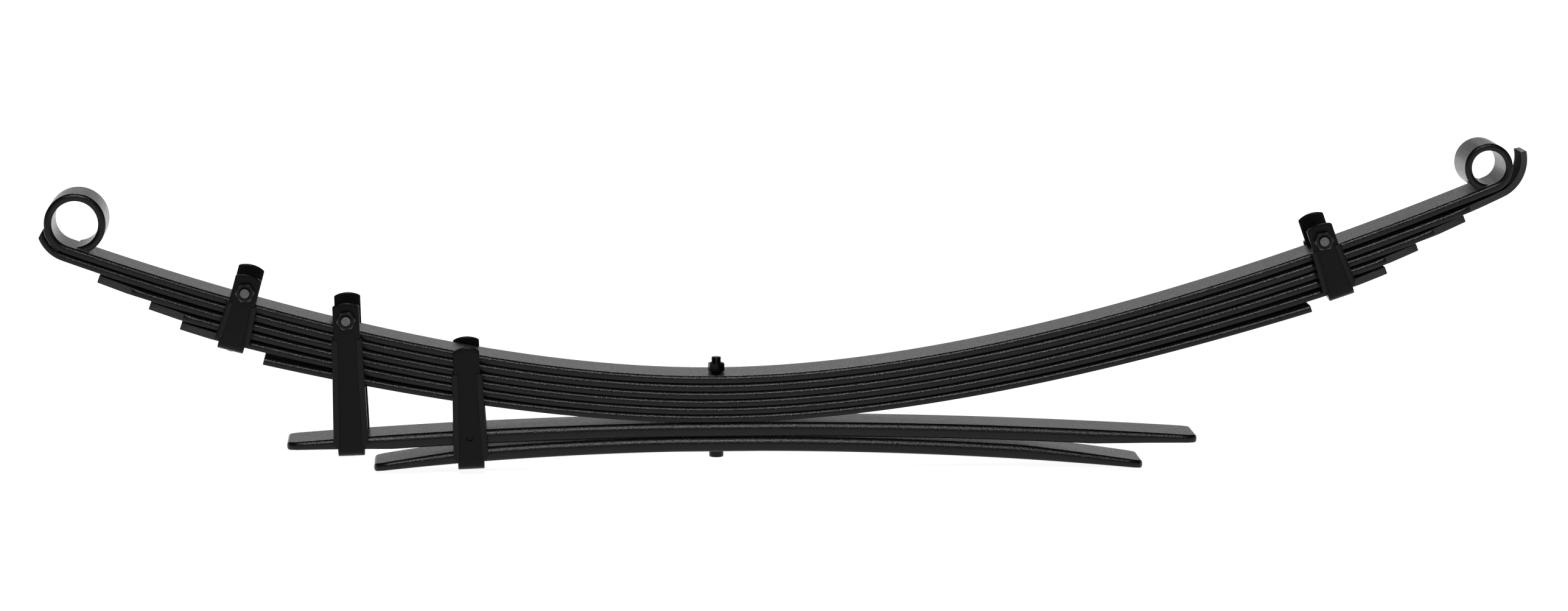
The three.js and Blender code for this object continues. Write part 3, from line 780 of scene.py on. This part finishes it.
def clip_matrix(clip):
    """The clip's place: its strap clears the leaf's underside even where the clip leans."""
    point, slope = clip_seat(clip)
    lean = math.radians(clip["lean"])
    lift = STRAP_GAP + STRAP["half_width"] * math.tan(abs(lean + slope))
    down = STRAP["thickness"] + lift
    place = Matrix.Translation((point.x - down * math.sin(lean), 0, point.y - down * math.cos(lean)))
    turn = Matrix.Rotation(math.radians(clip["turn"]), 4, "Z")
    return place @ Matrix.Rotation(lean, 4, "Y") @ turn


def top_arc(u, leg):
    """The height of a leg's rounded top at a distance u from its middle."""
    half, rise = STRAP["half_width"], STRAP["top_rise"]
    radius = (half * half + rise * rise) / (2 * rise)
    return leg - radius + math.sqrt(radius * radius - u * u)


def strap_path(inset, leg, u, count=8):
    """(y, z) points up one half of a strap, at a depth inset from its outer face, without the leg's top."""
    bend, outside = STRAP["bend"], STRAP_OUTSIDE
    radius = bend - inset
    points = [((outside - bend) * i / 6, inset) for i in range(6)]
    for i in range(count + 1):
        angle = math.pi / 2 * i / count
        points.append((outside - bend + radius * math.sin(angle), bend - radius * math.cos(angle)))
    rise = top_arc(u, leg) - bend
    return points + [(outside - inset, bend + rise * t) for t in (0.15, 0.3, 0.5, 0.7, 0.85, 0.95)]


def strap_section(edge):
    """A rounded rectangle across the strap, as (u, depth from the outer face)."""
    half, thick = STRAP["half_width"], STRAP["thickness"]
    points = []
    corners = [(1, edge), (1, thick - edge), (-1, thick - edge), (-1, edge)]
    for quarter, (side, middle) in enumerate(corners):
        for i in range(5):
            angle = math.radians(90 * (quarter - 1) + 22.5 * i)
            u = side * (half - edge) + edge * math.cos(angle)
            points.append((u, middle + edge * math.sin(angle)))
    # Extra points across the two flats let the leg's top follow its arc.
    across = [half * t for t in (-0.8, -0.6, -0.4, -0.2, 0, 0.2, 0.4, 0.6, 0.8)]
    outer, inner = [(u, 0) for u in across], [(u, thick) for u in reversed(across)]
    return points[:10] + inner + points[10:] + outer


def strap_mesh(clip):
    """The strap as one skin swept from leg top to leg top, with its edges rounded over."""
    edge = 0.9
    section = strap_section(edge)
    thick = STRAP["thickness"]
    paths = [strap_path(depth, clip["leg"], u) for u, depth in section]
    half_rings = [[(u, y, z) for (u, _), (y, z) in zip(section, row)] for row in zip(*paths)]
    for i in range(5):
        angle = math.pi / 2 * i / 4
        inset = edge * (1 - math.cos(angle))
        ring = []
        for u, depth in section:
            across = u * (1 - inset / STRAP["half_width"])
            y = STRAP_OUTSIDE - thick / 2 - (depth - thick / 2) * (1 - inset / (thick / 2))
            z = top_arc(across, clip["leg"]) - edge * (1 - math.sin(angle))
            ring.append((across, y, z))
        half_rings.append(ring)
    other = [[(u, -y, z) for u, y, z in ring] for ring in half_rings[1:]]
    return loft(other[::-1] + half_rings)


def cut_hole(piece, matrix, diameter, height, near_y, far_y):
    """Cuts a round hole across a clip, from near_y to far_y."""
    length = far_y - near_y
    lay = Matrix.Translation((0, (near_y + far_y) / 2, height)) @ Matrix.Rotation(math.pi / 2, 4, "X")
    vertices, faces = loft([circle(diameter / 2, z, 40) for z in (-length / 2, length / 2)])
    cutter = add_mesh("cutter", turn_mesh(vertices, matrix @ lay), faces, CLIP)
    modifier = piece.modifiers.new("hole", "BOOLEAN")
    modifier.operation = "DIFFERENCE"
    modifier.object = cutter
    modifier.solver = "EXACT"
    bpy.context.view_layer.update()
    graph = bpy.context.evaluated_depsgraph_get()
    cut = bpy.data.meshes.new_from_object(piece.evaluated_get(graph))
    piece.modifiers.clear()
    piece.data = cut
    bpy.data.objects.remove(cutter)
    cut.set_sharp_from_angle(angle=math.radians(32))


def rivet_mesh():
    """The domed head below the strap, with a small flat on it, and its shank inside the strap."""
    radius, head, rise = RIVET["diameter"] / 2, RIVET["head_diameter"] / 2, RIVET["head"]
    dome = (head * head + rise * rise) / (2 * rise)
    sweep = math.asin(head / dome)
    low, high = -TOUCH_GAP - rise, STRAP["thickness"] + 2
    profile = [(POINT, low)]
    for i in range(1, 15):
        angle = sweep * i / 14
        profile.append((dome * math.sin(angle), low + dome * (1 - math.cos(angle))))
    rim = -TOUCH_GAP + 0.15
    profile += [(head, rim), (radius, rim), (radius, high), (POINT, high)]
    return loft([circle(r, z, 48) for r, z in profile])


def liner_section(half):
    """The channel's section as (u, y): base inside the leg, sides, and lips over the leg's outer face."""
    inner, outer = STRAP["inside"] - LINER_PLAY, STRAP_OUTSIDE + LINER_PLAY
    lip = half - LINER_LAP
    base, skin = inner - LINER_WALL, outer + LINER_WALL
    right = [(0, base), (half - 1.2, base), (half - 0.35, base + 0.35), (half, base + 1.2)]
    right += [(half, skin - 1.4), (half - 0.4, skin - 0.4), (half - 1.4, skin)]
    right += [(lip + 0.5, skin), (lip, skin - 0.5), (lip, outer + 0.2), (lip + 0.3, outer)]
    right += [(half - LINER_WALL, outer), (half - LINER_WALL, inner)]
    return right + [(0, inner)] + [(-u, y) for u, y in reversed(right[1:])]


def liner_mesh(clip, side):
    """One liner: its sides flare a little towards the bottom, and its ends are softened."""
    low, high = clip["liner"]
    softened = [(0, 0.5), (0.5, 0.15), (1.2, 0)]
    levels = [(low + rise, inset) for rise, inset in softened]
    levels += [(z, 0) for z in stretch(low + 4, high - 4, 12)]
    levels += [(high - rise, inset) for rise, inset in reversed(softened)]
    rings = []
    for z, inset in levels:
        flare = LINER_FLARE * ease((high - z) / (high - low))
        rings.append([(u, side * y, z) for u, y in liner_section(LINER_HALF + flare - inset)])
    return loft(rings)


def clip_bolt_mesh(clip):
    """A set screw across a clip: its head on the far side and its thread through the nut on the near side."""
    radius = BOLT["diameter"] / 2
    head_low = STRAP_OUTSIDE + TOUCH_GAP
    tip = head_low + BOLT["nut"] + BOLT["stand_out"]
    threads = thread_rings(radius, BOLT["pitch"], head_low - 6, tip)
    threads = [[(x, y, -z) for x, y, z in ring] for ring in threads]
    shank = [circle(radius - 0.05, z, 36) for z in (-head_low + 6.1, 0, head_low)]
    head = hexagon_rings(BOLT["flats"], head_low, head_low + BOLT["head"], False, 36)
    return loft(threads[::-1] + shank + head)


def tube_mesh(outside, inside, low, high):
    """A plain sleeve with its outer edges chamfered."""
    edge = 0.6
    profile = [(outside - edge, low), (outside, low + edge), (outside, high - edge), (outside - edge, high)]
    profile += [(inside, high), (inside, low)]
    return loft([circle(r, z, 48) for r, z in profile], closed=True)


def build_clip(letter):
    """One clip: the strap, its rivet and liners, and the bolt, nut and spacer where it has them."""
    clip = CLIPS[letter]
    matrix = clip_matrix(clip)
    name = "clip_%s_" % letter
    body = clip["body"]
    strap = fastener(name + "strap_bent", strap_mesh(clip), matrix, body, None, CLIP, STRAP_SHARP)
    if clip["bolt"] is None:
        cut_hole(strap, matrix, SPARE_HOLE["diameter"], SPARE_HOLE["height"], -STRAP_OUTSIDE - 2, 0)
    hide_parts(name + "strap")
    fastener(name + "rivet_domed", rivet_mesh(), matrix, body, name + "rivet")
    for side, end in ((-1, "near"), (1, "far")):
        liner, node = name + "liner_%s_channel" % end, name + "liner_" + end
        fastener(liner, liner_mesh(clip, side), matrix, body, node, LINER, LINER_SHARP)
    if clip["bolt"] is None:
        return
    across = matrix @ Matrix.Translation((0, 0, clip["bolt"])) @ Matrix.Rotation(-math.pi / 2, 4, "X")
    bolt = fastener(name + "bolt_threaded", clip_bolt_mesh(clip), across, body, name + "bolt")
    wear_end(bolt)
    low = -STRAP_OUTSIDE - TOUCH_GAP - BOLT["nut"]
    spin = Matrix.Rotation(math.radians(NUT_SPIN[letter]), 4, "Z")
    nut = nut_mesh(BOLT["flats"], BOLT["diameter"] / 2 + TOUCH_GAP, low, low + BOLT["nut"])
    piece = fastener(name + "nut_hexagon", nut, across @ spin, body, name + "nut")
    # A painted highlight on the nut's near chamfer and countersink.
    highlight_mouth(piece, across)
    half = STRAP["inside"] - TOUCH_GAP
    sleeve = tube_mesh(SPACER_DIAMETER / 2, BOLT["diameter"] / 2 + TOUCH_GAP, -half, half)
    fastener(name + "spacer_sleeve", sleeve, across, body, name + "spacer")


# ---- The stage ----

# Brightness of the backdrop and the ceiling, and the share of it that is left in front of the part.
BACKDROP = 0.62
CEILING = 0.02
FRONT = 0.22
# Both lights have the same spread and height, in degrees.
KEY_POWER = 1.35
FILL_POWER = 0.3
LIGHT_SPREAD = 13
LIGHT_HEIGHT = 34
FLOOR_PALE = 0.92
FLOOR_GLOW = 1.0
FLOOR_REACH = 40
# The camera's place in metres, its angles in degrees, and its lens and sensor in millimetres.
CAMERA_PLACE = (-0.23675, -5.0409, 0.84778)
CAMERA_ANGLES = (81.9742, -0.0084, -3.4224)
LENS = 122.82
SENSOR = 36


def matte(name, colour):
    """Pale paint that glows a little, so that the floor stays white in the part's shadow."""
    material, tree, shader = new_material(name)
    tone = ramp(tree, noise(tree, 3, detail=2), [(0.3, colour * 0.99), (0.7, colour)])
    tree.links.new(tone, shader.inputs["Base Color"])
    tree.links.new(tone, shader.inputs["Emission Color"])
    shader.inputs["Emission Strength"].default_value = FLOOR_GLOW
    shader.inputs["Roughness"].default_value = 0.9
    shader.inputs["Specular IOR Level"].default_value = 0.1
    return material


def add_floor():
    """A plain pale floor, at the height of the part's lowest point."""
    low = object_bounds()[0].z
    mesh = bpy.data.meshes.new("floor")
    turns = [(-1, -1), (1, -1), (1, 1), (-1, 1)]
    corners = [(FLOOR_REACH * x, FLOOR_REACH * y, low) for x, y in turns]
    mesh.from_pydata(corners, [], [(0, 1, 2, 3)])
    mesh.materials.append(matte("floor_paint", FLOOR_PALE))
    floor = bpy.data.objects.new("floor", mesh)
    bpy.context.scene.collection.objects.link(floor)


def add_world():
    """A studio, dim overhead, with a bright low backdrop behind the spring and a dimmer one in front."""
    world = bpy.data.worlds.new("studio")
    bpy.context.scene.world = world
    world.use_nodes = True
    tree = world.node_tree
    place = tree.nodes.new("ShaderNodeTexCoord")
    split = tree.nodes.new("ShaderNodeSeparateXYZ")
    tree.links.new(place.outputs["Generated"], split.inputs["Vector"])
    low = ramp(tree, split.outputs["Z"], [(0.16, BACKDROP), (0.34, CEILING)])
    behind = ramp(tree, split.outputs["Y"], [(0.0, FRONT), (0.5, 1.0)])
    tree.links.new(multiply(tree, low, behind), tree.nodes["Background"].inputs["Color"])


def add_light(name, power, side):
    """One broad, soft light from above the camera's side (-1) or the far side (1)."""
    data = bpy.data.lights.new(name, "SUN")
    data.energy = power
    data.angle = math.radians(LIGHT_SPREAD)
    light = bpy.data.objects.new(name, data)
    light.location = (0, 2 * side, 3)
    light.rotation_euler = (-side * math.radians(90 - LIGHT_HEIGHT), 0, 0)
    bpy.context.scene.collection.objects.link(light)


def add_camera():
    """A long lens from the side and a little above."""
    camera = bpy.data.objects.new("camera", bpy.data.cameras.new("camera"))
    camera.location = CAMERA_PLACE
    camera.rotation_euler = [math.radians(angle) for angle in CAMERA_ANGLES]
    camera.data.sensor_width = SENSOR
    camera.data.lens = LENS
    camera.data.clip_end = 200
    bpy.context.scene.collection.objects.link(camera)
    bpy.context.scene.camera = camera


# ---- The assembly ----

add_camera()
for leaf_index in range(len(UPPER_LEAVES)):
    for arm_side in (-1, 1):
        upper_leaf(leaf_index, arm_side)
helper_leaf("leaf_7", LEAF_7, leaf_7_pair)
helper_leaf("leaf_8", LEAF_8, leaf_8_pair)
centre_bolt()
centre_nut()
for clip_letter in CLIPS:
    build_clip(clip_letter)
add_floor()
add_world()
add_light("key", KEY_POWER, -1)
add_light("fill", FILL_POWER, 1)
bpy.context.scene.view_settings.view_transform = "Standard"
